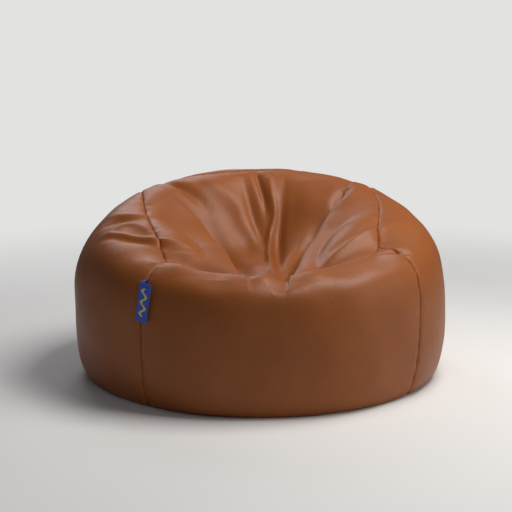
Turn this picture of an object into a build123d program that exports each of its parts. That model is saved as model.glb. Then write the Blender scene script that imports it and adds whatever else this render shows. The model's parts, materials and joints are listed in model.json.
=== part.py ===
from build123d import *
import math
import os

# Bean bag chair, in millimetres. The bag stands on z = 0 with its middle on the Z axis and its front,
# the low side of the seat, towards -Y.

# The filled bag
bag_radius = 475.0
base_radius = 432.0
equator_height = 170.0
crest_radius = 329.0
crest_height = 404.0
crest_forward = 77.0
crest_tilt = 15.1
hollow_floor_height = 290.0

# The two lobes that swell on either side of the seat hollow, placed from the crest's middle
lobe_half_length = 320.0
lobe_radius = 120.0
lobe_sink = 115.0
lobe_spread = 255.0
lobe_forward = 90.0
left_lobe_toe_in = 24.0
right_lobe_toe_in = 17.0

# The cover's panels
cover_thickness = 1.2
seam_allowance = 10.0
panel_turn = 8.4
seat_panel_width = 580.0
seat_corner_radius = 85.0
seat_axis_height = 380.0
seat_axis_back = -20.0
base_seam_setback = 3.0

# The sewing threads
thread_width = 1.0
thread_thickness = 0.8
thread_clearance = 0.05

# The inner bag and the beads
liner_thickness = 0.5
layer_clearance = 0.3

# The woven label
label_height = 92.0
label_width = 36.0
label_thickness = 1.0
label_middle_height = 262.0
label_lean = 7.0
label_standoff = 2.0
label_bead_radius = 0.6
label_reach = 14.0

# What both zips share
zip_running_clearance = 0.3
zip_tooth_clearance = 0.2
zip_wing_clearance = 0.2
zip_flange = 1.2
zip_neck_width = 2.4
zip_neck_length = 3.0
zip_neck_setback = 1.0
zip_stop_length = 3.0
zip_stop_thickness = 1.5
zip_stop_seat = 2.5
zip_slot_clearance = 2.0

# The cover's zip, in the base
cover_zip_length = 550.0
cover_zip_offset = 15.0
cover_zip_end_room = 42.0
cover_chain_width = 8.0
cover_chain_thickness = 2.6
cover_zip_pitch = 4.0
cover_tape_width = 22.0
cover_tape_thickness = 0.6
cover_slider_length = 18.0
cover_wing_thickness = 1.1
cover_slot_width = 20.0
hem_layers = 3
hem_width = 12.0

# The pull of the cover's zip
pull_length = 32.0
pull_width = 8.0
pull_thickness = 1.0
pull_pin_drop = 1.25
pull_pin_radius = 0.5
pull_pin_clearance = 0.15
pull_eye_radius = 1.0
pull_eye_width = 3.6
pull_neck_length = 5.0
pull_cheek_thickness = 1.1
pull_cheek_length = 3.0

# The liner's zip, above the cover's
liner_zip_length = 380.0
liner_zip_end_room = 20.0
liner_chain_width = 6.0
liner_chain_thickness = 2.4
liner_zip_pitch = 3.5
liner_tape_width = 18.0
liner_tape_thickness = 0.5
liner_slider_length = 13.0
liner_wing_thickness = 1.0
liner_slot_width = 15.0
liner_hem_width = 8.0
zip_layer_gap = 0.5

# Where the ring circles of the bag stand, as angles round the bulge and as shares of the hollow's radius
lower_ring_angles = (90, 72, 50, 25, 0)
upper_ring_angles = (25, 50, 72, 90)
hollow_ring_shares = (0.85, 0.65, 0.45, 0.25, 0.06)
lower_fullness = 0.9
upper_fullness = 0.8
tilt_ease = 2.8
shift_ease = 3.0

side_names = ("front", "right", "back", "left")
seam_names = ("front_left", "front_right", "back_right", "back_left")
crest_slope = math.tan(math.radians(crest_tilt))
seam_depth = 2 * cover_thickness
thread_start = seam_depth + thread_clearance
liner_inset = thread_start + thread_thickness + layer_clearance
fill_inset = liner_inset + liner_thickness + layer_clearance
base_seam_radius = base_radius - base_seam_setback
far = 4 * bag_radius

# Heights in the stack of the two zips
cover_tape_height = cover_thickness * (1 + hem_layers)


def slider_reach(chain_thickness, wing_thickness):
    """How far a slider's outer face lies from the middle of its tape."""
    return chain_thickness / 2 + zip_wing_clearance + wing_thickness


cover_zip_middle = cover_tape_height + cover_tape_thickness / 2
cover_slider_reach = slider_reach(cover_chain_thickness, cover_wing_thickness)
cover_zip_top = cover_zip_middle + cover_slider_reach
liner_slider_reach = slider_reach(liner_chain_thickness, liner_wing_thickness)
liner_zip_middle = cover_zip_top + zip_layer_gap + liner_slider_reach
liner_tape_height = liner_zip_middle - liner_tape_thickness / 2
liner_zip_top = liner_zip_middle + liner_slider_reach
channel_height = liner_tape_height - 2 * liner_thickness

# Places along the cover's zip: the chain runs from its start to its end, and the slot a little further
cover_chain_start = cover_zip_offset - cover_zip_length / 2
cover_chain_end = cover_zip_offset + cover_zip_length / 2
cover_slot_start = cover_chain_start - cover_zip_end_room
cover_slot_end = cover_chain_end + cover_zip_end_room
cover_hem_start = cover_slot_start - seam_allowance
cover_hem_end = cover_slot_end + seam_allowance
cover_tape_outer = cover_chain_width / 2 + cover_tape_width
liner_chain_start = -liner_zip_length / 2
liner_chain_end = liner_zip_length / 2
liner_slot_start = liner_chain_start - liner_zip_end_room
liner_slot_end = liner_chain_end + liner_zip_end_room
liner_tape_outer = liner_chain_width / 2 + liner_tape_width


def slab(x_range, y_range, z_range):
    """A block between two values on each axis."""
    size = [high - low for low, high in (x_range, y_range, z_range)]
    middle = [(high + low) / 2 for low, high in (x_range, y_range, z_range)]
    return Pos(*middle) * Box(*size)


def lower_ring(angle):
    """Radius, height, no tilt or shift, and inset directions of a ring between the base and the equator.

    The ring on the floor is a corner, so an inset moves it in from the wall as well as up from the floor.
    """
    across = max(math.cos(math.radians(angle)), 0.0)
    down = math.sin(math.radians(angle))
    radius = base_radius + (bag_radius - base_radius) * across**lower_fullness
    height = equator_height * (1 - down**lower_fullness)
    return radius, height, 0.0, 0.0, 1.0 if angle == 90 else across, -down


def upper_ring(angle):
    """Radius, height, shares of the crest's tilt and shift, and normal of a ring up to the crest."""
    across = max(math.cos(math.radians(angle)), 0.0)
    up = math.sin(math.radians(angle))
    share = up**upper_fullness
    radius = crest_radius + (bag_radius - crest_radius) * across**upper_fullness
    height = equator_height + (crest_height - equator_height) * share
    return radius, height, share**tilt_ease, share**shift_ease, across, up


def hollow_ring(part):
    """Radius, height, shares of the crest's tilt and shift, and normal of a ring down in the seat hollow."""
    depth = crest_height - hollow_floor_height
    share = 3 * part**2 - 2 * part**3
    steepness = (6 * part - 6 * part**2) * depth / crest_radius
    length = math.hypot(1, steepness)
    height = hollow_floor_height + depth * share
    return crest_radius * part, height, share, share, -steepness / length, 1 / length


def crest_plane():
    """The crest's plane, from the crest's middle, with X to the right and Y to the back."""
    tilt = math.radians(crest_tilt)
    return Plane(
        origin=(0, -crest_forward, crest_height), x_dir=(1, 0, 0), z_dir=(0, -math.sin(tilt), math.cos(tilt))
    )


def seat_lobe(side, toe_in, inset):
    """One lobe beside the hollow: a long ellipsoid under the crest's plane, toed in towards the front."""
    upper = Pos(0, lobe_radius / 2) * Rectangle(2 * lobe_half_length, lobe_radius)
    lobe = revolve(Ellipse(lobe_half_length - inset, lobe_radius - inset) & upper, Axis.X)
    place = Pos(side * lobe_spread, -lobe_forward, -lobe_sink) * Rot(0, 0, -90 - side * toe_in)
    return crest_plane() * place * lobe


def bag_body(inset):
    """The filled bag: a loft through its rings, each moved in by the inset, and the lobes of the seat."""
    rings = [lower_ring(angle) for angle in lower_ring_angles]
    rings += [upper_ring(angle) for angle in upper_ring_angles]
    rings += [hollow_ring(part) for part in hollow_ring_shares]
    circles = []
    for radius, height, tilt_share, shift_share, normal_out, normal_up in rings:
        tilt = math.atan(crest_slope * tilt_share)
        plane = Plane(
            origin=(0, -crest_forward * shift_share, height - inset * normal_up),
            x_dir=(1, 0, 0),
            z_dir=(0, -math.sin(tilt), math.cos(tilt)),
        )
        circles.append(plane * Circle(radius - inset * normal_out))
    return loft(circles) + seat_lobe(-1, left_lobe_toe_in, inset) + seat_lobe(1, right_lobe_toe_in, inset)


def seat_prism(growth):
    """The rounded square column, tilted with the crest, that the seat panel is cut by."""
    tilt = math.radians(crest_tilt)
    depth = (seat_axis_height - 0.75 * hollow_floor_height) / math.cos(tilt)
    plane = Plane(
        origin=(0, seat_axis_back + depth * math.sin(tilt), seat_axis_height - depth * math.cos(tilt)),
        x_dir=(1, 0, 0),
        z_dir=(0, -math.sin(tilt), math.cos(tilt)),
    )
    width = seat_panel_width + 2 * growth
    outline = RectangleRounded(width, width, seat_corner_radius + growth)
    return extrude(plane * Rot(0, 0, panel_turn) * outline, far / 2)


def seam_angle(index):
    """Angle about Z of a side seam, from the front left seam on to the right."""
    return panel_turn - 45 + 90 * index


def side_wedge(index, setback, bottom):
    """The quarter between two side seams, moved in from both seam planes by the setback."""
    block = slab((0, far), (-far, 0), (bottom, far))
    return Rot(0, 0, seam_angle(index)) * Pos(setback, -setback, 0) * block


def label_plane(bag):
    """The label's hinge, leaning over the front panel: X along the flap, Y up the hinge, Z out of the bag."""
    angle = math.radians(seam_angle(0))
    out = Vector(math.sin(angle), -math.cos(angle), 0)
    start = Vector(0, 0, label_middle_height)
    hits = bag.find_intersection_points(Axis(start, out))
    point, normal = max(hits, key=lambda hit: (hit[0] - start).dot(out))
    normal = (out * normal.dot(out) + Vector(0, 0, normal.Z)).normalized()
    along = Vector(math.cos(angle), math.sin(angle), 0)
    upright = Plane(origin=point + normal * label_standoff, x_dir=along, z_dir=normal)
    return Plane(upright.location * Rot(0, 0, -label_lean))


def label_tab_block(hinge):
    """The label's sewn-in strip before its inner edge is shaped to the bag."""
    top = -label_bead_radius - layer_clearance
    half = label_thickness / 2
    return hinge * slab((-half, half), (-label_height / 2, label_height / 2), (top - label_reach, top))


def label_flap(hinge):
    """The label's free leaf, with the rolled edge that it turns on."""
    half = label_thickness / 2
    bead = hinge * Rot(90, 0, 0) * Cylinder(label_bead_radius, label_height)
    leaf = hinge * slab((0, label_width), (-label_height / 2, label_height / 2), (-half, half))
    return bead + leaf


def side_panel(index, thick_shell, lined_body, tab_block):
    """One side panel with its edges folded back inside along every seam."""
    panel = thick_shell & side_wedge(index, 0, -far)
    panel -= seat_prism(0)
    panel -= extrude(Circle(base_seam_radius), thread_start)
    middle = lined_body & side_wedge(index, seam_allowance, seam_depth + seam_allowance)
    panel -= middle - seat_prism(seam_allowance)
    return panel - tab_block


def seat_panel(thick_shell, lined_body):
    """The top panel, with its edge folded back inside."""
    return (thick_shell & seat_prism(0)) - (lined_body & seat_prism(-seam_allowance))


def base_panel(side):
    """One half of the round base with its folded edges and the hem along its side of the zip."""
    half = slab((-far, far), sorted((0, side * far)), (-far, far))
    disc = extrude(Circle(base_seam_radius), cover_thickness)
    ring = Circle(base_seam_radius) - Circle(base_seam_radius - seam_allowance)
    folds = extrude(Pos(0, 0, cover_thickness) * ring, cover_thickness)
    seam = slab(
        (-base_seam_radius, base_seam_radius),
        (-seam_allowance, seam_allowance),
        (cover_thickness, seam_depth),
    )
    folds += seam & extrude(Circle(base_seam_radius), seam_depth)
    slot = slab(
        (cover_slot_start, cover_slot_end), (-cover_slot_width / 2, cover_slot_width / 2), (-far, far)
    )
    edge = cover_slot_width / 2
    hem = slab(
        (cover_hem_start, cover_hem_end),
        sorted((side * edge, side * (edge + hem_width))),
        (cover_thickness, cover_tape_height),
    )
    return ((disc + folds) & half) - slot + hem


def side_thread(index, thread_layer):
    """The thread of one side seam, from just above the base seam to just under the seat seam."""
    half = thread_width / 2
    strip = slab((-half, half), (-far, 0), (seam_depth + seam_allowance, far))
    thread = thread_layer & (Rot(0, 0, seam_angle(index)) * strip)
    return thread - seat_prism(half + layer_clearance)


def seat_thread(thread_layer):
    """The thread of the seat seam."""
    return (thread_layer & seat_prism(thread_width / 2)) - seat_prism(-thread_width / 2)


def base_thread():
    """The thread of the round base seam."""
    ring = Circle(base_seam_radius + thread_width / 2) - Circle(base_seam_radius - thread_width / 2)
    return extrude(Pos(0, 0, thread_start) * ring, thread_thickness)


def base_centre_thread():
    """The two short threads that close the base beyond the ends of the zip."""
    half = thread_width / 2
    height = (thread_start, thread_start + thread_thickness)
    limit = base_seam_radius - thread_width
    left = slab((-limit, cover_hem_start), (-half, half), height)
    right = slab((cover_hem_end, limit), (-half, half), height)
    return Compound(children=[left, right])


def zip_channel(growth):
    """The recess under the inner bag that the cover's zip lies in."""
    half = cover_tape_outer + zip_slot_clearance + growth
    start = cover_hem_start - zip_slot_clearance - growth
    end = cover_hem_end + zip_slot_clearance + growth
    return slab((start, end), (-half, half), (-far, channel_height + growth))


def inner_body(inset):
    """The space inside the cover at a depth under its face, with the recess for the cover's zip."""
    return bag_body(inset) - zip_channel(inset - liner_inset)


def liner_bag():
    """The inner bag, with the slot and the single hem of its own zip."""
    skin = inner_body(liner_inset) - inner_body(liner_inset + liner_thickness)
    edge = liner_slot_width / 2
    along = (liner_slot_start, liner_slot_end)
    hem_heights = (channel_height + liner_thickness, liner_tape_height)
    hem = slab(along, (-edge - liner_hem_width, edge + liner_hem_width), hem_heights)
    return skin + hem - slab(along, (-edge, edge), (channel_height - liner_thickness, far / 8))


def bead_fill():
    """The space that the beads fill, clear of the inner bag and its zip."""
    half = liner_tape_outer + zip_slot_clearance
    recess = slab(
        (liner_slot_start - zip_slot_clearance, liner_slot_end + zip_slot_clearance),
        (-half, half),
        (-far, liner_zip_top + layer_clearance),
    )
    return inner_body(fill_inset) - recess


def zip_tape(side, start, end, chain_width, tape_width, height, thickness):
    """One woven tape of a zip, from the back of its teeth outwards."""
    inner = side * chain_width / 2
    return slab((start, end), sorted((inner, inner + side * tape_width)), (height, height + thickness))


def zip_teeth(side, start, end, pitch, chain_width, chain_thickness, middle):
    """One row of a zip's teeth on its spine, as a comb that meshes with the row of the other side."""
    back = side * chain_width / 2
    root = side * chain_width / 5
    tip = -side * (chain_width / 5 - zip_tooth_clearance)
    tooth = pitch / 2 - zip_tooth_clearance
    phase = 0.25 if side < 0 else 0.75
    points = [(start, back), (start, root)]
    for count in range(int((end - start) / pitch)):
        left = start + (count + phase) * pitch - tooth / 2
        points += [(left, root), (left, tip), (left + tooth, tip), (left + tooth, root)]
    points += [(end, root), (end, back)]
    comb = make_face(Polyline(*points, close=True))
    return extrude(Pos(0, 0, middle - chain_thickness / 2) * comb, chain_thickness)


def zip_slider(front, length, chain_width, chain_thickness, tape_thickness, wing_thickness, middle):
    """A zip slider: two wings, the neck that parts the teeth and four flanges that guide the tapes."""
    half = chain_width / 2 + zip_running_clearance + zip_flange
    wing_inner = chain_thickness / 2 + zip_wing_clearance
    tape_gap = tape_thickness / 2 + zip_running_clearance
    outline = Pos(front - length / 2, 0) * RectangleRounded(length, 2 * half, half / 2)
    neck_end = front - zip_neck_setback
    neck_y = (-zip_neck_width / 2, zip_neck_width / 2)
    slider = slab((neck_end - zip_neck_length, neck_end), neck_y, (middle - wing_inner, middle + wing_inner))
    slider += extrude(Pos(0, 0, middle + wing_inner) * outline, wing_thickness)
    slider += extrude(Pos(0, 0, middle - wing_inner - wing_thickness) * outline, wing_thickness)
    flange_x = (front - length + half / 2, front - half / 2)
    for side in (-1, 1):
        flange_y = sorted((side * half, side * (half - zip_flange)))
        slider += slab(flange_x, flange_y, (middle + tape_gap, middle + wing_inner))
        slider += slab(flange_x, flange_y, (middle - wing_inner, middle - tape_gap))
    return slider


def zip_stops(start, front, chain_width, chain_thickness, tape_height, tape_thickness):
    """The closed-end stop of each tape and the one stop that joins both tapes at the open end."""
    on_tape = (tape_height + tape_thickness, tape_height + tape_thickness + zip_stop_thickness)
    middle = tape_height + tape_thickness / 2
    half = chain_width / 2
    solids = []
    for side in (-1, 1):
        across = sorted((side * half, side * (half + zip_stop_seat)))
        begin = front + zip_running_clearance
        solids.append(slab((begin, begin + zip_stop_length), across, on_tape))
    end = start - zip_tooth_clearance
    bridge = slab((end - zip_stop_length, end), (-half - zip_stop_seat, half + zip_stop_seat), on_tape)
    core = (middle - chain_thickness / 2, on_tape[1])
    solids.append(bridge + slab((end - zip_stop_length, end), (-half, half), core))
    return Compound(children=solids)


def slider_front(chain_end):
    """Where a closed zip's slider ends: its neck stands just past the last teeth."""
    return chain_end + zip_tooth_clearance + zip_neck_length + zip_neck_setback


cover_slider_front = slider_front(cover_chain_end)
liner_slider_front = slider_front(liner_chain_end)
pull_pin_x = cover_slider_front - cover_slider_length / 2
pull_pin_z = cover_zip_middle - cover_slider_reach - pull_pin_drop


def pull_lug():
    """The two cheeks under the cover's slider and the pin between them."""
    inner = pull_eye_width / 2 + zip_running_clearance
    outer = inner + pull_cheek_thickness
    along = (pull_pin_x - pull_cheek_length / 2, pull_pin_x + pull_cheek_length / 2)
    heights = (pull_pin_z - pull_eye_radius, cover_zip_middle - cover_slider_reach)
    lug = Pos(pull_pin_x, 0, pull_pin_z) * Rot(90, 0, 0) * Cylinder(pull_pin_radius, 2 * outer)
    for side in (-1, 1):
        lug += slab(along, sorted((side * inner, side * outer)), heights)
    return lug


def cover_zip_pull():
    """The flat pull, lying along the zip, with its eye round the slider's pin."""
    narrow = pull_eye_width
    stem = Pos(-pull_neck_length / 2, 0) * Rectangle(pull_neck_length, narrow)
    grip_length = pull_length - pull_neck_length + pull_width / 4
    grip_middle = -pull_length + grip_length / 2
    grip = Pos(grip_middle, 0) * RectangleRounded(grip_length, pull_width, pull_width / 4)
    hole = Pos(-pull_length + pull_width * 0.75, 0) * Circle(pull_width / 5)
    plate = extrude(Pos(0, 0, -pull_thickness / 2) * (stem + grip - hole), pull_thickness)
    eye = Rot(90, 0, 0) * Cylinder(pull_eye_radius, pull_eye_width)
    bore = Rot(90, 0, 0) * Cylinder(pull_pin_radius + pull_pin_clearance, 2 * pull_eye_width)
    return Pos(pull_pin_x, 0, pull_pin_z) * (plate + eye - bore)


def cover_parts():
    """The panels, threads and label of the cover."""
    outer = bag_body(0)
    inner = bag_body(seam_depth)
    lined = bag_body(cover_thickness)
    thick_shell = outer - inner
    thread_layer = bag_body(thread_start) - bag_body(thread_start + thread_thickness)
    hinge = label_plane(outer)
    tab_block = label_tab_block(hinge)
    parts = {
        "seat_panel": seat_panel(thick_shell, lined),
        "base_panel_front": base_panel(-1),
        "base_panel_back": base_panel(1),
        "seat_seam_thread": seat_thread(thread_layer),
        "base_seam_thread": base_thread(),
        "base_centre_thread": base_centre_thread(),
        "label_tab": tab_block - bag_body(seam_depth - thread_clearance),
        "label_flap": label_flap(hinge),
    }
    for index, name in enumerate(side_names):
        parts[name + "_panel"] = side_panel(index, thick_shell, lined, tab_block)
    for index, name in enumerate(seam_names):
        parts["side_seam_thread_" + name] = side_thread(index, thread_layer)
    print("label hinge at", hinge.origin, "up the hinge", hinge.y_dir, "along the flap", hinge.x_dir)
    return parts


def cover_zip_parts():
    """The seven pieces of the zip in the base of the cover."""
    parts = {
        "cover_zip_slider": pull_lug() + zip_slider(
            cover_slider_front,
            cover_slider_length,
            cover_chain_width,
            cover_chain_thickness,
            cover_tape_thickness,
            cover_wing_thickness,
            cover_zip_middle,
        ),
        "cover_zip_pull": cover_zip_pull(),
        "cover_zip_stops": zip_stops(
            cover_chain_start,
            cover_slider_front,
            cover_chain_width,
            cover_chain_thickness,
            cover_tape_height,
            cover_tape_thickness,
        ),
    }
    for side, name in ((-1, "front"), (1, "back")):
        parts["cover_zip_tape_" + name] = zip_tape(
            side,
            cover_slot_start,
            cover_slot_end,
            cover_chain_width,
            cover_tape_width,
            cover_tape_height,
            cover_tape_thickness,
        )
        parts["cover_zip_teeth_" + name] = zip_teeth(
            side,
            cover_chain_start,
            cover_chain_end,
            cover_zip_pitch,
            cover_chain_width,
            cover_chain_thickness,
            cover_zip_middle,
        )
    return parts


def liner_parts():
    """The inner bag, the beads and the six pieces of the inner bag's zip."""
    parts = {
        "liner_bag": liner_bag(),
        "bead_fill": bead_fill(),
        "liner_zip_slider": zip_slider(
            liner_slider_front,
            liner_slider_length,
            liner_chain_width,
            liner_chain_thickness,
            liner_tape_thickness,
            liner_wing_thickness,
            liner_zip_middle,
        ),
        "liner_zip_stops": zip_stops(
            liner_chain_start,
            liner_slider_front,
            liner_chain_width,
            liner_chain_thickness,
            liner_tape_height,
            liner_tape_thickness,
        ),
    }
    for side, name in ((-1, "front"), (1, "back")):
        parts["liner_zip_tape_" + name] = zip_tape(
            side,
            liner_slot_start,
            liner_slot_end,
            liner_chain_width,
            liner_tape_width,
            liner_tape_height,
            liner_tape_thickness,
        )
        parts["liner_zip_teeth_" + name] = zip_teeth(
            side,
            liner_chain_start,
            liner_chain_end,
            liner_zip_pitch,
            liner_chain_width,
            liner_chain_thickness,
            liner_zip_middle,
        )
    return parts


def travel(chain_start, front, length):
    """How far a slider runs from closed until it meets the stop at the open end."""
    return front - length - chain_start - zip_running_clearance


os.makedirs("parts", exist_ok=True)
for node, shape in {**cover_parts(), **cover_zip_parts(), **liner_parts()}.items():
    export_step(shape, "parts/" + node + ".step")
print("pull pin at", pull_pin_x, 0, pull_pin_z)
print("cover slider travel", travel(cover_chain_start, cover_slider_front, cover_slider_length))
print("liner slider travel", travel(liner_chain_start, liner_slider_front, liner_slider_length))
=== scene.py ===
"""Looks of a round leatherette bean bag chair: cover panels, seams, label, zips, inner bag and beads.

Lengths are in metres, unless a docstring says otherwise.
"""
import json
import logging
import math
from dataclasses import dataclass, field
from enum import Enum
from typing import Any, Sequence

import bmesh
import bpy
import numpy as np
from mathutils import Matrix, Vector


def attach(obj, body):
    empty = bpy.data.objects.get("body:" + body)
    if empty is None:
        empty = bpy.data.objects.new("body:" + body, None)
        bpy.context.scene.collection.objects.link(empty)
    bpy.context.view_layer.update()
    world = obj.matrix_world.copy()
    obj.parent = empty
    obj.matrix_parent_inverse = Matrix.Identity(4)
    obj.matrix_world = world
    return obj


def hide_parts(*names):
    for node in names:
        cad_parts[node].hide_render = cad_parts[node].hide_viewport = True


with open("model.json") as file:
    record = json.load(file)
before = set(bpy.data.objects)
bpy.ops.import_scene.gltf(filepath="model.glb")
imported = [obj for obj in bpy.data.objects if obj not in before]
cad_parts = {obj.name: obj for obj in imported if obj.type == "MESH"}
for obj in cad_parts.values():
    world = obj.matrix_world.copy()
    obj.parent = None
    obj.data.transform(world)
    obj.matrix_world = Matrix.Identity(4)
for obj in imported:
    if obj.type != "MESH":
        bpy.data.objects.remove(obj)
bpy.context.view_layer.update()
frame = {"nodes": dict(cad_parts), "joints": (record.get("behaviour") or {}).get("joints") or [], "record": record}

log = logging.getLogger("bean_bag")
Array = np.ndarray
MM = 0.001


class Curve(Enum):
    """How the cross section of a fold runs."""

    ROUND = "round"
    OVERLAP = "overlap"


class Value:
    """One value socket of a shader, with Python's operators as Math nodes."""

    def __init__(self, maker: "Shader", socket: Any) -> None:
        """Keep the socket and the shader that it belongs to."""
        self.maker = maker
        self.socket = socket

    def _math(self, operation: str, first: Any, second: Any) -> "Value":
        """Add one Math node for two operands, each a Value or a number."""
        return self.maker.node("ShaderNodeMath", {"operation": operation}, {0: first, 1: second}).out()

    def __add__(self, other: Any) -> "Value":
        """Sum."""
        return self._math("ADD", self, other)

    def __radd__(self, other: Any) -> "Value":
        """Sum with the number on the left."""
        return self._math("ADD", other, self)

    def __sub__(self, other: Any) -> "Value":
        """Difference."""
        return self._math("SUBTRACT", self, other)

    def __rsub__(self, other: Any) -> "Value":
        """Difference from the number on the left."""
        return self._math("SUBTRACT", other, self)

    def __mul__(self, other: Any) -> "Value":
        """Product."""
        return self._math("MULTIPLY", self, other)

    def __rmul__(self, other: Any) -> "Value":
        """Product with the number on the left."""
        return self._math("MULTIPLY", other, self)

    def above(self, limit: float) -> "Value":
        """One where the value is over the limit, else nought."""
        return self._math("GREATER_THAN", self, limit)

    def size(self) -> "Value":
        """The value without its sign."""
        return self._math("ABSOLUTE", self, 0.0)

    def sine(self) -> "Value":
        """Sine of the value in radians."""
        return self._math("SINE", self, 0.0)


class Made:
    """A node that was just added, for reading its outputs."""

    def __init__(self, maker: "Shader", node: Any) -> None:
        """Keep the node."""
        self.maker = maker
        self.node = node

    def out(self, name: Any = 0) -> Value:
        """One output of the node, by name or number."""
        return Value(self.maker, self.node.outputs[name])


class Shader:
    """A material whose nodes are added by short calls."""

    def __init__(self, name: str) -> None:
        """Start an empty material with one Principled shader."""
        self._start(bpy.data.materials.new(name), "Principled BSDF", "Material Output")

    def _start(self, block: Any, surface: str, output: str) -> None:
        """Switch on the nodes of a material or world and find the two that it starts with.

        Args:
            block: the material or world.
            surface: name of its shader node.
            output: name of its output node.
        """
        block.use_nodes = True
        self.block = block
        self.tree = block.node_tree
        self.surface = self.tree.nodes[surface]
        self.output = self.tree.nodes[output]

    def node(self, kind: str, settings: dict, inputs: dict) -> Made:
        """Add a node.

        Args:
            kind: Blender's type of the node.
            settings: attributes that are set first; "stops" fills a colour ramp.
            inputs: socket name or number to a number, colour or Value.

        Returns:
            The node, ready for its outputs to be read.
        """
        node = self.tree.nodes.new(kind)
        for key, value in settings.items():
            if key == "stops":
                ramp = node.color_ramp
                while len(ramp.elements) < len(value):
                    ramp.elements.new(0.5)
                for element, (place, tone) in zip(ramp.elements, value):
                    element.position = place
                    element.color = tone
            else:
                setattr(node, key, value)
        self._fill(node, inputs)
        return Made(self, node)

    def _fill(self, node: Any, inputs: dict) -> None:
        """Link Values to a node's sockets and set numbers and colours on them.

        Args:
            node: the node that is fed.
            inputs: socket name or number to a number, colour or Value.
        """
        for key, value in inputs.items():
            if isinstance(value, Value):
                self.tree.links.new(value.socket, node.inputs[key])
            else:
                node.inputs[key].default_value = value

    def place(self, source: str = "Object") -> Value:
        """The coordinates that the pattern is drawn on."""
        return self.node("ShaderNodeTexCoord", {}, {}).out(source)

    def noise(self, where: Value, scale: float, detail: float = 2.0, rough: float = 0.5) -> Value:
        """Cloudy noise from 0 to 1 of the given scale."""
        inputs = {"Vector": where, "Scale": scale, "Detail": detail, "Roughness": rough}
        return self.node("ShaderNodeTexNoise", {}, inputs).out("Fac")

    def cells(self, where: Value, scale: float) -> Value:
        """Distance to the middle of the nearest cell, as in pebbled grain."""
        return self.node("ShaderNodeTexVoronoi", {}, {"Vector": where, "Scale": scale}).out("Distance")

    def ramp(self, value: Value, stops: Sequence[tuple[float, tuple]]) -> Value:
        """Colour chosen by a value."""
        return self.node("ShaderNodeValToRGB", {"stops": stops}, {"Fac": value}).out("Color")

    def mix(self, share: Any, first: Any, second: Any) -> Value:
        """Colour between two colours."""
        settings = {"data_type": "RGBA"}
        return self.node("ShaderNodeMix", settings, {0: share, 6: first, 7: second}).out(2)

    def bump(self, height: Value, strength: float, distance: float) -> Value:
        """Normal tilted by a height in metres."""
        inputs = {"Height": height, "Strength": strength, "Distance": distance}
        return self.node("ShaderNodeBump", {}, inputs).out("Normal")

    def finish(self, **inputs: Any) -> Any:
        """Set the sockets of the first shader node; underscores in the names stand for spaces."""
        self._fill(self.surface, {key.replace("_", " "): value for key, value in inputs.items()})
        return self.block

    def faded(self, share: Value, other: Value) -> None:
        """Show the finished surface mixed with another one.

        Args:
            share: share of the other surface.
            other: the other surface.
        """
        own = Value(self, self.surface.outputs[0])
        mixed = self.node("ShaderNodeMixShader", {}, {0: share, 1: own, 2: other}).out()
        self.tree.links.new(mixed.socket, self.output.inputs["Surface"])

    def seen(self) -> Value:
        """One for what the camera sees directly, else nought."""
        return self.node("ShaderNodeLightPath", {}, {}).out("Is Camera Ray")


class WorldShader(Shader):
    """The nodes of the light all round."""

    def __init__(self, name: str) -> None:
        """Start a world with one Background."""
        self._start(bpy.data.worlds.new(name), "Background", "World Output")


def colour(red: float, green: float, blue: float) -> tuple[float, float, float, float]:
    """Linear colour with full alpha, by the sRGB curve.

    Args:
        red: sRGB part of 255, as are green and blue.
        green: sRGB part.
        blue: sRGB part.

    Returns:
        The linear parts and an alpha of 1.
    """
    parts = np.array([red, green, blue]) / 255.0
    linear = np.where(parts <= 0.04045, parts / 12.92, ((parts + 0.055) / 1.055) ** 2.4)
    return (*map(float, linear), 1.0)


@dataclass(frozen=True)
class LeatherFinish:
    """Pebbled leatherette with a soft sheen and slightly uneven dye."""

    dark: tuple = colour(124, 66, 23)
    light: tuple = colour(149, 83, 32)
    dye_scale: float = 9.0
    wear_scale: float = 34.0
    crease_scale: float = 210.0
    grain_scale: float = 290.0
    grain_depth: float = 0.0009
    roughness: float = 0.47
    specular: float = 0.32
    pore_share: float = 0.6
    pore_shade: float = 0.16
    wear_gloss: float = 0.16
    pore_gloss: float = 0.08
    bump: float = 0.6

    def material(self) -> Any:
        """Cells for the grain, slow noise for the dye and for the wear of the gloss.

        Returns:
            The material.
        """
        shader = Shader("cover_leather")
        where = shader.place()
        dye = shader.noise(where, self.dye_scale, detail=4.0, rough=0.55)
        pores = shader.cells(where, self.grain_scale)
        wear = shader.noise(where, self.wear_scale, detail=3.0, rough=0.6)
        creases = shader.noise(where, self.crease_scale, detail=3.0, rough=0.65)
        grain = pores * self.pore_share + creases * (1.0 - self.pore_share)
        tone = shader.mix(dye, self.dark, self.light)
        tone = shader.mix((1.0 - pores) * self.pore_shade, tone, self.dark)
        rough = self.roughness + (wear - 0.5) * self.wear_gloss + (pores - 0.4) * self.pore_gloss
        return shader.finish(
            Base_Color=tone,
            Roughness=rough,
            Normal=shader.bump(grain, self.bump, self.grain_depth),
            Specular_IOR_Level=self.specular,
        )


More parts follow.
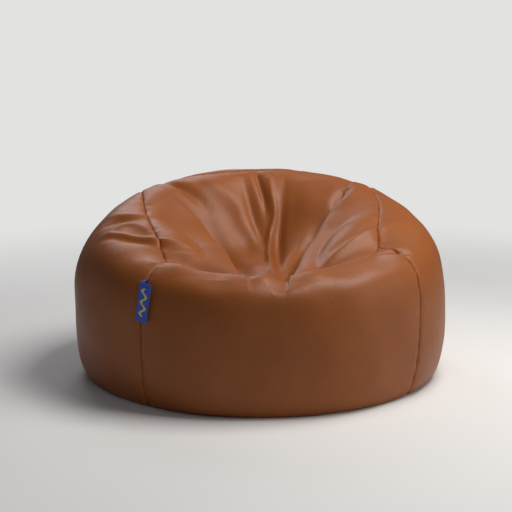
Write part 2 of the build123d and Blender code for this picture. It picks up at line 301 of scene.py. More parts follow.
@dataclass(frozen=True)
class WovenFinish:
    """Plain woven cloth: crossed threads with a little colour change from thread to thread."""

    name: str
    warp: tuple
    weft: tuple
    threads: float = 1400.0
    dust_scale: float = 60.0
    thread_depth: float = 0.0003
    roughness: float = 0.82
    sheen: float = 0.15
    dust_share: float = 0.3
    dust_gloss: float = 0.12
    bump: float = 0.4

    def material(self) -> Any:
        """Two crossed sines make the threads, their product chooses which thread is on top.

        Returns:
            The material.
        """
        shader = Shader(self.name)
        split = shader.node("ShaderNodeSeparateXYZ", {}, {0: shader.place()})
        across = (split.out("X") * self.threads + split.out("Z") * self.threads).sine()
        along = (split.out("Y") * self.threads - split.out("Z") * self.threads).sine()
        top = (across * along) * 0.5 + 0.5
        dust = shader.noise(shader.place(), self.dust_scale, detail=3.0, rough=0.6)
        share = top * (1.0 - self.dust_share) + dust * self.dust_share
        tone = shader.mix(share, self.warp, self.weft)
        return shader.finish(
            Base_Color=tone,
            Roughness=self.roughness + (dust - 0.5) * self.dust_gloss,
            Normal=shader.bump(top, self.bump, self.thread_depth),
            Sheen_Weight=self.sheen,
        )


@dataclass(frozen=True)
class ThreadFinish(WovenFinish):
    """Brown sewing thread, with the weave drawn finer."""

    warp: tuple = colour(96, 56, 30)
    weft: tuple = colour(74, 42, 22)
    threads: float = 2600.0


@dataclass(frozen=True)
class SolidFinish:
    """Moulded plastic or plated metal with fine scuffs."""

    name: str
    tone: tuple
    worn: tuple
    metallic: float = 0.0
    roughness: float = 0.4
    scuff_scale: float = 900.0
    scuff_depth: float = 0.0002
    tarnish_scale: float = 120.0
    scuff_gloss: float = 0.2
    bump: float = 0.12

    def material(self) -> Any:
        """Fine noise for the scuffs, slow noise for the tarnish.

        Returns:
            The material.
        """
        shader = Shader(self.name)
        where = shader.place()
        scuffs = shader.noise(where, self.scuff_scale, detail=3.0, rough=0.7)
        tarnish = shader.noise(where, self.tarnish_scale, detail=3.0, rough=0.6)
        return shader.finish(
            Base_Color=shader.mix(tarnish, self.tone, self.worn),
            Roughness=self.roughness + (scuffs - 0.5) * self.scuff_gloss,
            Metallic=self.metallic,
            Normal=shader.bump(scuffs, self.bump, self.scuff_depth),
        )


@dataclass(frozen=True)
class BeadFinish:
    """Packed white foam beads."""

    bead_scale: float = 230.0
    bead_depth: float = 0.002
    bright: tuple = colour(248, 248, 245)
    # gap: painted shade, a grey that stands for the shadow between packed beads, not a colour of the beads
    gap: tuple = colour(205, 205, 200)
    gap_shade_place: float = 0.75
    roughness: float = 0.6
    gap_gloss: float = 0.2
    bump: float = 0.8

    def material(self) -> Any:
        """Each cell is one bead: its middle stands high and bright white, and the gap between beads is painted
        grey as the shade that falls there.

        Returns:
            The material.
        """
        shader = Shader("packed_beads")
        gap = shader.cells(shader.place(), self.bead_scale)
        # the ramp runs from the beads' white at each middle to the painted shade in the gaps
        tone = shader.ramp(gap, [(0.0, self.bright), (self.gap_shade_place, self.gap)])
        height = shader.bump(1.0 - gap, self.bump, self.bead_depth)
        rough = self.roughness + gap * self.gap_gloss
        return shader.finish(Base_Color=tone, Roughness=rough, Normal=height)


@dataclass(frozen=True)
class LabelFinish:
    """Blue woven label with one plain yellow wave along it."""

    ground: tuple = colour(62, 98, 200)
    shade: tuple = colour(46, 76, 172)
    mark: tuple = colour(232, 208, 60)
    waves: float = 3.5
    swing: float = 0.19
    line: float = 0.105
    reach: float = 0.36
    warp: float = 300.0
    weft: float = 760.0
    thread_depth: float = 0.0004
    thread_share: float = 0.2
    raised: float = 0.4
    roughness: float = 0.7
    thread_gloss: float = 0.1
    bump: float = 0.5

    def material(self) -> Any:
        """The wave is where a sine of the height runs close to the width, away from both ends.

        Returns:
            The material.
        """
        shader = Shader("label_weave")
        split = shader.node("ShaderNodeSeparateXYZ", {}, {0: shader.place("UV")})
        wide, tall = split.out("X"), split.out("Y")
        swing = (tall * (2.0 * math.pi * self.waves)).sine() * self.swing
        inside = (self.reach - (tall - 0.5).size()).above(0.0)
        marked = (self.line - (wide - 0.5 - swing).size()).above(0.0) * inside
        threads = ((wide * self.warp).sine() * (tall * self.weft).sine()) * 0.5 + 0.5
        ground = shader.mix(threads, self.shade, self.ground)
        share = marked * ((1.0 - self.thread_share) + threads * self.thread_share)
        tone = shader.mix(share, ground, self.mark)
        height = threads * (1.0 - self.raised) + marked * self.raised
        weave = shader.bump(height, self.bump, self.thread_depth)
        rough = self.roughness + threads * self.thread_gloss
        return shader.finish(Base_Color=tone, Roughness=rough, Normal=weave)


def smooth_least(first: Array, second: Array, blend: float) -> Array:
    """Lesser of two surfaces, rounded over the blend width where they cross."""
    share = np.clip(0.5 + 0.5 * (second - first) / blend, 0.0, 1.0)
    return second + (first - second) * share - blend * share * (1.0 - share)


def ease(value: Array, low: float, high: float) -> Array:
    """Smooth step from 0 at low to 1 at high."""
    share = np.clip((value - low) / (high - low), 0.0, 1.0)
    return share * share * (3.0 - 2.0 * share)


def between(value: Array, low: float, high: float, blend: float) -> Array:
    """One from low to high, with a smooth step of the blend width outside each."""
    return ease(value, low - blend, low) * (1.0 - ease(value, high, high + blend))


def all_round(count: int) -> Array:
    """Evenly spaced turns all the way round, in radians."""
    return np.linspace(0.0, 2.0 * np.pi, count, endpoint=False)


@dataclass
class Fold:
    """One fold of the cover, along a few plan points from end to end.

    The height falls off with the distance from the line, and fades out towards both ends. Points,
    height, width and lap are in millimetres.
    """

    points: Sequence[tuple[float, float]]
    height: float
    width: float
    curve: Curve = Curve.ROUND
    undercut: float = 0.8
    lap: float = 4.0
    rounds: int = 2
    end_share: float = 0.05
    end_power: float = 0.7
    cut_rate: float = 2.2

    def route(self) -> Array:
        """The smoothed line: in each round, every step is cut at a quarter and at three quarters.

        Returns:
            Plan points in metres, of shape (count, 2).
        """
        route = np.asarray(self.points, dtype=float) * MM
        for _ in range(self.rounds):
            cut = np.repeat(route, 2, axis=0)
            cut[1:-1:2] = route[:-1] * 0.75 + route[1:] * 0.25
            cut[2:-1:2] = route[:-1] * 0.25 + route[1:] * 0.75
            route = cut
        return route

    def lift(self, x: Array, y: Array) -> Array:
        """Height of the fold over the plan: its section by the nearest point of the smoothed line.

        Args:
            x: plan coordinates to the right, in metres.
            y: plan coordinates to the back, in metres.

        Returns:
            Height in metres, of the same shape.
        """
        route = self.route()
        steps = np.diff(route, axis=0)
        steps[np.hypot(steps[:, 0], steps[:, 1]) < 1e-9] += 1e-9
        lengths = np.hypot(steps[:, 0], steps[:, 1])
        starts = np.concatenate([[0.0], np.cumsum(lengths)])
        near = np.full(x.shape, np.inf)
        along = np.zeros(x.shape)
        hand = np.zeros(x.shape)
        for start, step, length, run in zip(route[:-1], steps, lengths, starts[:-1]):
            share = np.clip(((x - start[0]) * step[0] + (y - start[1]) * step[1]) / length**2, 0.0, 1.0)
            gap = np.hypot(x - start[0] - share * step[0], y - start[1] - share * step[1])
            left = (step[0] * (y - start[1]) - step[1] * (x - start[0])) / length
            along = np.where(gap < near, run + share * length, along)
            hand = np.where(gap < near, left, hand)
            near = np.minimum(near, gap)
        part = along / starts[-1] * (1.0 - 2.0 * self.end_share) + self.end_share
        fade = np.sin(np.pi * np.clip(part, 0.0, 1.0)) ** self.end_power
        return self.height * MM * self.section(near / (self.width * MM), hand) * fade

    def section(self, reach: Array, hand: Array) -> Array:
        """Cross section: a bell curve, or for an overlap a bell on the left and a cut on the right.

        Args:
            reach: distance from the line in widths.
            hand: distance to the left of the line, in metres.

        Returns:
            Share of the fold's height.
        """
        over = np.exp(-(reach**2))
        if self.curve is Curve.ROUND:
            return over
        under = -self.undercut * np.exp(-self.cut_rate * reach)
        share = ease(hand, -self.lap * MM, self.lap * MM)
        return under + (over - under) * share


@dataclass(frozen=True)
class Waves:
    """Smooth uneven noise: a sum of seeded sine waves in all directions."""

    seed: int
    length: float
    count: int = 18

    def at(self, points: Array) -> Array:
        """Sum of the waves.

        Args:
            points: array of shape (..., 3).

        Returns:
            Noise from about -1 to 1.
        """
        draw = np.random.default_rng(self.seed)
        ways = draw.normal(size=(self.count, 3))
        ways /= np.linalg.norm(ways, axis=1)[:, None]
        waves = ways * (2.0 * np.pi / (self.length * draw.uniform(0.7, 1.5, self.count)))[:, None]
        phases = draw.uniform(0.0, 2.0 * np.pi, self.count)
        return np.sin(points @ waves.T + phases).sum(axis=-1) / math.sqrt(self.count)


@dataclass
class BagForm:
    """The filled bag as rings that tilt and shift towards the crest, with the sagged and folded seat.

    A place on the bag is a turn about Z, from the front to the right, and a depth number: 0 in the
    middle of the seat, 1 on the crest, 2 on the equator and 3 where the bag meets the floor.
    """

    radius: float = 0.475
    base_radius: float = 0.432
    equator: float = 0.170
    crest_radius: float = 0.329
    crest_height: float = 0.404
    crest_forward: float = 0.077
    crest_slope: float = math.tan(math.radians(15.1))
    floor: float = 0.290
    lower_fullness: float = 0.9
    upper_fullness: float = 0.8
    tilt_ease: float = 2.8
    shift_ease: float = 3.0
    turn: float = math.radians(8.4)
    front_round: float = 0.55
    front_fullness: float = 0.9
    front_span: tuple[float, float] = (0.1, 0.9)
    lean: float = math.radians(0.8)
    lean_reach: float = 0.30
    lean_fade: tuple[float, float] = (1.35, 1.9)
    seat_width: float = 0.580
    seat_corner: float = 0.085
    seat_axis_height: float = 0.380
    seat_axis_back: float = -0.020
    seat_span: tuple[float, float] = (0.4, 1.9)
    seat_halvings: int = 40
    drawn_in: float = 0.045
    drawn_from: float = 0.150
    drawn_limit: float = 1.2
    right_give: float = 0.030
    give_span: tuple[float, float] = (-0.20, 0.08)
    lobe_half_length: float = 0.320
    lobe_radius: float = 0.120
    lobe_sink: float = 0.115
    lobe_spread: float = 0.255
    lobe_forward: float = 0.090
    lobe_toe_in: tuple[float, float] = (24.0, 17.0)
    lobe_blend: float = 0.010
    sink: float = 0.055
    sink_middle: tuple[float, float] = (0.025, -0.225)
    sink_reach: tuple[float, float] = (0.125, 0.105)
    lobe_fade: tuple[float, float] = (1.0, 1.3)
    fold_fade: tuple[float, float] = (1.25, 1.75)
    wall_start: tuple[float, float] = (1.1, 1.6)
    wall_end: tuple[float, float] = (2.7, 3.0)
    broad_swell: float = 0.0035
    small_swell: float = 0.0012
    seat_swell: float = 0.0016
    broad_waves: Waves = Waves(11, 0.34)
    small_waves: Waves = Waves(12, 0.13)
    seat_waves: Waves = Waves(13, 0.10)
    folds: list[Fold] = field(default_factory=list)

    def rings(self, depth: Array) -> tuple[Array, Array, Array, Array]:
        """The rings: a smooth step in the hollow, and powered quarter ellipses above and below the equator.

        Args:
            depth: depth numbers.

        Returns:
            Radius, height, slope and middle of each ring.
        """
        hollow = np.clip(depth, 0.0, 1.0)
        sag = 3.0 * hollow**2 - 2.0 * hollow**3
        bulge = np.clip(2.0 - depth, 0.0, 1.0) * np.pi / 2.0
        out = np.clip(np.cos(bulge), 0.0, 1.0) ** self.upper_fullness
        up = np.clip(np.sin(bulge), 0.0, 1.0) ** self.upper_fullness
        under = np.clip(depth - 2.0, 0.0, 1.0) * np.pi / 2.0
        low_out = np.clip(np.cos(under), 0.0, 1.0) ** self.lower_fullness
        low = np.clip(np.sin(under), 0.0, 1.0) ** self.lower_fullness
        upper_radius = self.crest_radius + (self.radius - self.crest_radius) * out
        upper_height = self.equator + (self.crest_height - self.equator) * up
        lower_radius = self.base_radius + (self.radius - self.base_radius) * low_out
        outer = np.where(depth < 2.0, upper_radius, lower_radius)
        radius = np.where(depth < 1.0, self.crest_radius * hollow, outer)
        height = np.where(
            depth < 1.0,
            self.floor + (self.crest_height - self.floor) * sag,
            np.where(depth < 2.0, upper_height, self.equator * (1.0 - low)),
        )
        tilt = np.where(depth < 1.0, sag, up**self.tilt_ease)
        shift = np.where(depth < 1.0, sag, up**self.shift_ease)
        return radius, height, self.crest_slope * tilt, -self.crest_forward * shift

    def seam_turn(self, index: int) -> float:
        """Turn of a side seam, from the front left one on to the right."""
        return self.turn + math.radians(90.0 * index - 45.0)

    def leaned(self, turn: Array, depth: Array) -> Array:
        """Turn with the front left seam's lean: a bell curve beside it that grows above the label's foot.

        Args:
            turn: turns about Z.
            depth: depth numbers, of the same shape.

        Returns:
            The moved turns.
        """
        away = np.angle(np.exp(1j * (turn - self.seam_turn(0)))) / self.lean_reach
        return turn + self.lean * (1.0 - ease(depth, *self.lean_fade)) * np.exp(-(away**2))

    def plain(self, turn: Array, depth: Array) -> Array:
        """Points of the smooth bag, with its front rounded off towards a quarter ellipse.

        Args:
            turn: turns about Z.
            depth: depth numbers, of the same shape.

        Returns:
            Points, of that shape and 3.
        """
        turn = self.leaned(turn, depth)
        points = self.ring_points(turn, depth)
        low = self.ring_points(turn, np.full_like(depth, 2.0))
        high = self.ring_points(turn, np.ones_like(depth))
        bend = np.clip(2.0 - depth, 0.0, 1.0) * np.pi / 2.0
        out = 1.0 - np.clip(np.cos(bend), 0.0, 1.0) ** self.front_fullness
        up = np.sin(bend) ** self.front_fullness
        share = np.stack([out, out, up], axis=-1)
        wall = np.where((depth > 1.0) & (depth < 2.0), 1.0, 0.0)
        weight = self.front_round * wall * ease(np.cos(turn), *self.front_span)
        return points + weight[..., None] * (low + (high - low) * share - points)

    def ring_points(self, turn: Array, depth: Array) -> Array:
        """Points of the rings: each ring cut by the upright half plane of the turn.

        Args:
            turn: turns about Z.
            depth: depth numbers, of the same shape.

        Returns:
            Points, of that shape and 3.
        """
        radius, height, slope, middle = self.rings(depth)
        radius = np.maximum(radius, 1e-6)
        short = radius / np.sqrt(1.0 + slope**2)
        sine, cosine = np.sin(turn), np.cos(turn)
        square = (sine / radius) ** 2 + (cosine / short) ** 2
        half = cosine * middle / short**2
        rest = (middle / short) ** 2 - 1.0
        reach = (-half + np.sqrt(np.maximum(half**2 - square * rest, 0.0))) / square
        x, y = reach * sine, -reach * cosine
        return np.stack([x, y, height + (y - middle) * slope], axis=-1)

    def lobe_height(self, x: Array, y: Array, side: int) -> Array:
        """Height of one lobe's top: a long ellipsoid under the crest's plane, toed in towards the front.

        Args:
            x: plan coordinates to the right, in metres.
            y: plan coordinates to the back, in metres.
            side: -1 for the left lobe, 1 for the right one.

        Returns:
            Height in metres, far below the seat where the lobe doesn't reach.
        """
        tilt = math.atan(self.crest_slope)
        heading = math.radians(-90.0 - side * self.lobe_toe_in[side > 0])
        run = x - side * self.lobe_spread
        back = (y + self.crest_forward) / math.cos(tilt) + self.lobe_forward
        along = run * math.cos(heading) + back * math.sin(heading)
        across = back * math.cos(heading) - run * math.sin(heading)
        inside = 1.0 - (along / self.lobe_half_length) ** 2 - (across / self.lobe_radius) ** 2
        rise = self.lobe_radius * np.sign(inside) * np.sqrt(np.abs(inside)) - self.lobe_sink
        return self.crest_height + self.crest_slope * (y + self.crest_forward) + rise / math.cos(tilt)

    def seat_height(self, x: Array, y: Array, z: Array) -> Array:
        """Height of the seat: the hollow less a bell curve behind the lip, or a lobe that stands higher.

        Args:
            x: plan coordinates to the right, in metres.
            y: plan coordinates to the back, in metres.
            z: heights of the plain hollow.

        Returns:
            Heights in metres.
        """
        wide, deep = self.sink_reach
        away = ((x - self.sink_middle[0]) / wide) ** 2 + ((y - self.sink_middle[1]) / deep) ** 2
        z = z - self.sink * np.exp(-away)
        for side in (-1, 1):
            z = -smooth_least(-z, -self.lobe_height(x, y, side), self.lobe_blend)
        return z

    def sculpt(self, turn: Array, depth: Array) -> Array:
        """Points of the bag: the smooth bag with its seat, the sum of all folds and slow waves.

        Args:
            turn: turns about Z.
            depth: depth numbers, of the same shape.

        Returns:
            Points, of that shape and 3.
        """
        points = self.plain(turn, depth)
        x, y, z = points[..., 0], points[..., 1], points[..., 2]
        z = z + (1.0 - ease(depth, *self.lobe_fade)) * (self.seat_height(x, y, z) - z)
        top = 1.0 - ease(depth, *self.fold_fade)
        folded = top > 0.0
        lift = np.zeros_like(x)
        for fold in self.folds:
            lift[folded] += fold.lift(x[folded], y[folded])
        points = np.stack([x, y, z + top * lift], axis=-1)
        walls = ease(depth, *self.wall_start) * (1.0 - ease(depth, *self.wall_end))
        swell = self.broad_waves.at(points) * self.broad_swell
        swell = swell + self.small_waves.at(points) * self.small_swell
        out = np.stack([np.sin(turn), -np.cos(turn), np.zeros_like(turn)], axis=-1)
        points = points + out * (swell * walls)[..., None]
        points[..., 2] += self.seat_waves.at(points) * self.seat_swell * top
        return points

    def normals(self, turn: Array, depth: Array) -> Array:
        """Outward unit normals of the sculpted bag: the cross product of small steps both ways.

        Args:
            turn: turns about Z.
            depth: depth numbers, of the same shape.

        Returns:
            Unit vectors, of that shape and 3.
        """
        step = 1e-4
        around = self.sculpt(turn + step, depth) - self.sculpt(turn - step, depth)
        low, high = np.maximum(depth - step, 1e-5), np.minimum(depth + step, 3.0)
        inward = self.sculpt(turn, low) - self.sculpt(turn, high)
        cross = np.cross(around, inward)
        return cross / np.maximum(np.linalg.norm(cross, axis=-1, keepdims=True), 1e-15)

    def under(self, turn: Array, depth: Array, distance: float) -> Array:
        """Points at a distance under the sculpted bag, straight in along its normals."""
        return self.sculpt(turn, depth) - self.normals(turn, depth) * distance

    def seat_gap(self, points: Array) -> Array:
        """Signed distance from the seat seam: a rounded square that draws in towards the front.

        Args:
            points: array of shape (..., 3).

        Returns:
            Distance in metres, negative inside the seam.
        """
        tilt = math.atan(self.crest_slope)
        x = points[..., 0]
        y = (points[..., 1] - self.seat_axis_back) * math.cos(tilt)
        y = y + (points[..., 2] - self.seat_axis_height) * math.sin(tilt)
        across = x * math.cos(self.turn) + y * math.sin(self.turn)
        along = y * math.cos(self.turn) - x * math.sin(self.turn)
        half = self.seat_width / 2.0
        ahead = (self.drawn_from - along) / (self.drawn_from + half)
        drawn = np.clip(ahead, 0.0, self.drawn_limit) ** 2 * self.drawn_in
        given = np.where(across > 0.0, self.right_give * ease(along, *self.give_span), 0.0)
        side = np.abs(across) + drawn - given - (half - self.seat_corner)
        deep = np.abs(along) - (half - self.seat_corner)
        outer = np.hypot(np.maximum(side, 0.0), np.maximum(deep, 0.0))
        return outer + np.minimum(np.maximum(side, deep), 0.0) - self.seat_corner

    def seat_depth(self, turn: Array) -> Array:
        """Depth number of the seat seam, by halving the span that holds it.

        Args:
            turn: turns about Z.

        Returns:
            Depth numbers, of the same shape.
        """
        low, high = (np.full(turn.shape, end) for end in self.seat_span)
        for _ in range(self.seat_halvings):
            middle = (low + high) / 2.0
            within = self.seat_gap(self.plain(turn, middle)) < 0.0
            low, high = np.where(within, middle, low), np.where(within, high, middle)
        return (low + high) / 2.0


def mesh_piece(name: str, points: Array, wrap: bool = False, uv: bool = False) -> Any:
    """A mesh from a grid of points.

    Args:
        name: the piece's name.
        points: array of shape (rows, columns, 3); faces look out where rows go up and columns to the right.
        wrap: joins the last column to the first.
        uv: adds a UV map that runs 0 to 1 along columns and rows.

    Returns:
        The new object, at the origin and with smooth shading.
    """
    rows, columns = points.shape[:2]
    index = np.arange(rows * columns).reshape(rows, columns)
    right = np.roll(index, -1, axis=1) if wrap else index[:, 1:]
    left = index if wrap else index[:, :-1]
    quads = np.stack([left[:-1], right[:-1], right[1:], left[1:]], axis=-1).reshape(-1, 4)
    mesh = bpy.data.meshes.new(name)
    mesh.vertices.add(rows * columns)
    mesh.vertices.foreach_set("co", np.ascontiguousarray(points, dtype=np.float32).ravel())
    mesh.loops.add(quads.size)
    mesh.loops.foreach_set("vertex_index", quads.astype(np.int32).ravel())
    mesh.polygons.add(len(quads))
    mesh.polygons.foreach_set("loop_start", np.arange(0, quads.size, 4, dtype=np.int32))
    mesh.polygons.foreach_set("use_smooth", np.ones(len(quads), dtype=bool))
    mesh.update(calc_edges=True)
    if uv:
        across, up = np.meshgrid(np.linspace(0.0, 1.0, columns), np.linspace(0.0, 1.0, rows))
        flat = np.stack([across, up], axis=-1).reshape(-1, 2)[quads.ravel()]
        mesh.uv_layers.new(name="UVMap").data.foreach_set("uv", flat.astype(np.float32).ravel())
    mesh.validate()
    piece = bpy.data.objects.new(name, mesh)
    bpy.context.scene.collection.objects.link(piece)
    return piece


def capped_tube(name: str, rings: Array) -> Any:
    """A closed tube through rings of points, each end drawn together to its middle.

    Args:
        name: the piece's name.
        rings: array of shape (rings, points in a ring, 3).

    Returns:
        The new piece.
    """
    first = np.broadcast_to(rings[:1].mean(axis=1, keepdims=True), rings[:1].shape)
    last = np.broadcast_to(rings[-1:].mean(axis=1, keepdims=True), rings[-1:].shape)
    piece = mesh_piece(name, np.concatenate([first, rings, last]), wrap=True)
    outward(piece)
    return piece


def outward(piece: Any) -> None:
    """Merge doubled points of a closed piece and turn its faces outwards.

    Args:
        piece: the closed mesh object.
    """
    work = bmesh.new()
    work.from_mesh(piece.data)
    bmesh.ops.remove_doubles(work, verts=work.verts, dist=1e-6)
    bmesh.ops.recalc_face_normals(work, faces=work.faces)
    work.to_mesh(piece.data)
    work.free()


def dress(piece: Any, material: Any, body: str, nodes: Sequence[str] = ()) -> None:
    """Finish a piece, hang it on its body and hide the CAD nodes that it stands for.

    Args:
        piece: the mesh object.
        material: its material.
        body: the body that it rides on.
        nodes: the CAD nodes that it stands for.
    """
    piece.data.materials.append(material)
    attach(piece, body)
    if nodes:
        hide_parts(*nodes)
    log.info("%s: %d faces on %s", piece.name, len(piece.data.polygons), body)


def thicken(piece: Any, thickness: float, offset: float = -1.0) -> None:
    """Give a sheet its thickness.

    Args:
        piece: the sheet.
        thickness: in metres.
        offset: -1 for all of it inwards, 0 for half to each side.
    """
    solid = piece.modifiers.new("thickness", "SOLIDIFY")
    solid.thickness = thickness
    solid.offset = offset


@dataclass
class Cover:
    """The leatherette panels of the bag, each sewn to its neighbours in a drawn-in seam."""

    form: BagForm
    thickness: float = 0.0012
    seam_depth: float = 0.0042
    seam_reach: float = 0.0055
    tuck: float = 0.005
    pucker: float = 0.0009
    pucker_reach: float = 0.014
    pucker_waves: Waves = Waves(21, 0.028)
    seat_reach: float = 0.30
    seat_rows: int = 200
    side_rows: int = 150
    side_columns: int = 190

    def drawn_in(self, points: Array, normals: Array, gap: Array) -> Array:
        """Move points in near a seam: depth and puckers die away with the distance as powers of e.

        Args:
            points: array of shape (..., 3).
            normals: their outward normals.
            gap: their distance from the seam.

        Returns:
            The moved points.
        """
        pucker = self.pucker_waves.at(points) * self.pucker * np.exp(-gap / self.pucker_reach)
        inward = self.seam_depth * np.exp(-gap / self.seam_reach) - pucker
        return points - normals * inward[..., None]

    def seat_panel(self) -> Any:
        """The seat panel: square rings from its middle to the seam, by depth number.

        Returns:
            The new piece.
        """
        form, count = self.form, self.seat_rows
        side = np.linspace(-1.0, 1.0, count)
        wide, deep = np.meshgrid(side, side)
        share = np.maximum(np.abs(wide), np.abs(deep))
        turn = np.arctan2(wide, -deep) + form.turn
        limit = form.seat_depth(turn)
        depth = np.maximum(share * limit, 1e-4)
        points = form.sculpt(turn, depth)
        normals = form.normals(turn, depth)
        points = self.drawn_in(points, normals, (1.0 - share) * self.seat_reach)
        piece = mesh_piece("seat_panel_sewn", self.tucked(points, normals))
        thicken(piece, self.thickness)
        return piece

    def tucked(self, points: Array, normals: Array) -> Array:
        """Add a border row on every side that turns straight in at the seam.

        Args:
            points: grid of points.
            normals: their outward normals.

        Returns:
            The grid with its border.
        """
        grown = np.pad(points, ((1, 1), (1, 1), (0, 0)), mode="edge")
        down = np.pad(normals, ((1, 1), (1, 1), (0, 0)), mode="edge")
        rim = np.ones(grown.shape[:2], dtype=bool)
        rim[1:-1, 1:-1] = False
        return np.where(rim[..., None], grown - down * self.tuck, grown)

    def side_panel(self, index: int, name: str) -> Any:
        """One side panel between two side seams: depth numbers run evenly from the floor to the seat seam.

        Args:
            index: number of the seam at its left.
            name: the panel's side.

        Returns:
            The new piece.
        """
        form = self.form
        across = np.linspace(0.0, 1.0, self.side_columns)
        up = np.linspace(0.0, 1.0, self.side_rows)
        turn = form.seam_turn(index) + math.pi / 2.0 * across
        top = form.seat_depth(turn)
        share, turns = np.meshgrid(up, turn, indexing="ij")
        depth = 3.0 + (top[None, :] - 3.0) * share
        points = form.sculpt(turns, depth)
        normals = form.normals(turns, depth)
        reach = np.hypot(points[..., 0], points[..., 1])
        side_gap = np.minimum(across, 1.0 - across)[None, :] * math.pi / 2.0 * reach
        steps = np.linalg.norm(np.diff(points, axis=0), axis=-1)
        run = np.concatenate([np.zeros((1, steps.shape[1])), np.cumsum(steps, axis=0)])
        gap = np.minimum(side_gap, run[-1:] - run)
        points = self.drawn_in(points, normals, gap)
        points[..., 2] = np.maximum(points[..., 2], 0.0)
        points = self.tucked(points, normals)
        points[..., 2] = np.maximum(points[..., 2], 0.0)
        piece = mesh_piece(name + "_panel_sewn", points)
        thicken(piece, self.thickness)
        return piece

    def build(self, material: Any) -> None:
        """Make and dress the seat panel and the four side panels.

        Args:
            material: the leather.
        """
        seat = self.seat_panel()
        dress(seat, material, "bag", ["seat_panel"])
        for index, name in enumerate(("front", "right", "back", "left")):
            side = self.side_panel(index, name)
            dress(side, material, "bag", [name + "_panel"])


@dataclass
class Base:
    """The two flat halves of the base with a folded hem along each side of the zip's slot."""

    radius: float = 0.4308
    slot_start: float = -0.302
    slot_end: float = 0.332
    slot_half: float = 0.010
    hem: float = 0.012
    thickness: float = 0.0012
    clearance: float = 0.0001
    slot_ease: float = 0.004
    seam_half: float = 0.0003
    rim: float = 0.012
    dimple: float = 0.0003
    dimple_waves: Waves = Waves(31, 0.09)
    dimple_middle: float = 0.8
    row_power: float = 1.6
    hem_rise: float = 0.0036
    hem_base: float = 0.00135
    hem_over: float = 0.010
    hem_square: float = 0.5
    hem_settle: float = 0.00005
    hem_ripple: float = 0.02
    ripple_rate: float = 190.0
    hem_steps: int = 160
    hem_sides: int = 20
    rows: int = 60
    columns: int = 220

    def half(self, side: int, name: str) -> Any:
        """One half disc with slow dimples: columns run along the zip, rows from its edge out to the seam.

        Args:
            side: -1 for the front half, 1 for the back half.
            name: the piece's name.

        Returns:
            The new piece.
        """
        x = self.radius * np.sin(np.linspace(-np.pi / 2.0, np.pi / 2.0, self.columns)) * 0.9999
        slot = between(x, self.slot_start, self.slot_end, self.slot_ease)
        near = self.seam_half + slot * (self.slot_half - self.seam_half)
        far = np.maximum(np.sqrt(self.radius**2 - x**2), near + 0.0002)
        share = np.linspace(0.0, 1.0, self.rows)[:, None] ** self.row_power
        y = near + (far - near) * share
        x = np.broadcast_to(x, y.shape)
        rim = np.clip((self.radius - np.hypot(x, y)) / self.rim, 0.0, 1.0)
        waves = self.dimple_waves.at(np.stack([x, y * side, np.zeros_like(x)], axis=-1))
        dimple = np.clip(waves + self.dimple_middle, 0.0, 2.0 * self.dimple_middle) * self.dimple
        points = np.stack([x, side * y, self.thickness + self.clearance + dimple * rim], axis=-1)
        piece = mesh_piece(name, points if side > 0 else points[:, ::-1])
        thicken(piece, self.thickness)
        return piece

    def hem_strip(self, side: int, name: str) -> Any:
        """The rolled hem on top of the slot's edge: a flat oval section with a slight ripple along the zip.

        Args:
            side: -1 for the front hem, 1 for the back hem.
            name: the piece's name.

        Returns:
            The new piece.
        """
        x = np.linspace(self.slot_start - self.hem_over, self.slot_end + self.hem_over, self.hem_steps)
        angle = all_round(self.hem_sides)
        half_wide, half_tall = self.hem / 2.0, self.hem_rise / 2.0
        ripple = 1.0 + self.hem_ripple * np.sin(x * self.ripple_rate)[None, :]
        out = np.sign(np.cos(angle)) * np.abs(np.cos(angle)) ** self.hem_square
        up = np.sign(np.sin(angle)) * np.abs(np.sin(angle)) ** self.hem_square
        y = side * (self.slot_half + half_wide) + half_wide * out[:, None] * np.ones_like(ripple)
        z = self.hem_base + half_tall + (half_tall * up[:, None] - self.hem_settle) * ripple
        points = np.stack([np.broadcast_to(x, y.shape), y, z], axis=-1)
        return capped_tube(name, points.transpose(1, 0, 2))

    def build(self, material: Any) -> None:
        """Make and dress both halves and their hems.

        Args:
            material: the leather.
        """
        for side, name in ((-1, "front"), (1, "back")):
            half = self.half(side, "base_" + name + "_sewn")
            dress(half, material, "bag", ["base_panel_" + name])
            hem = self.hem_strip(side, "base_hem_" + name)
            dress(hem, material, "bag")


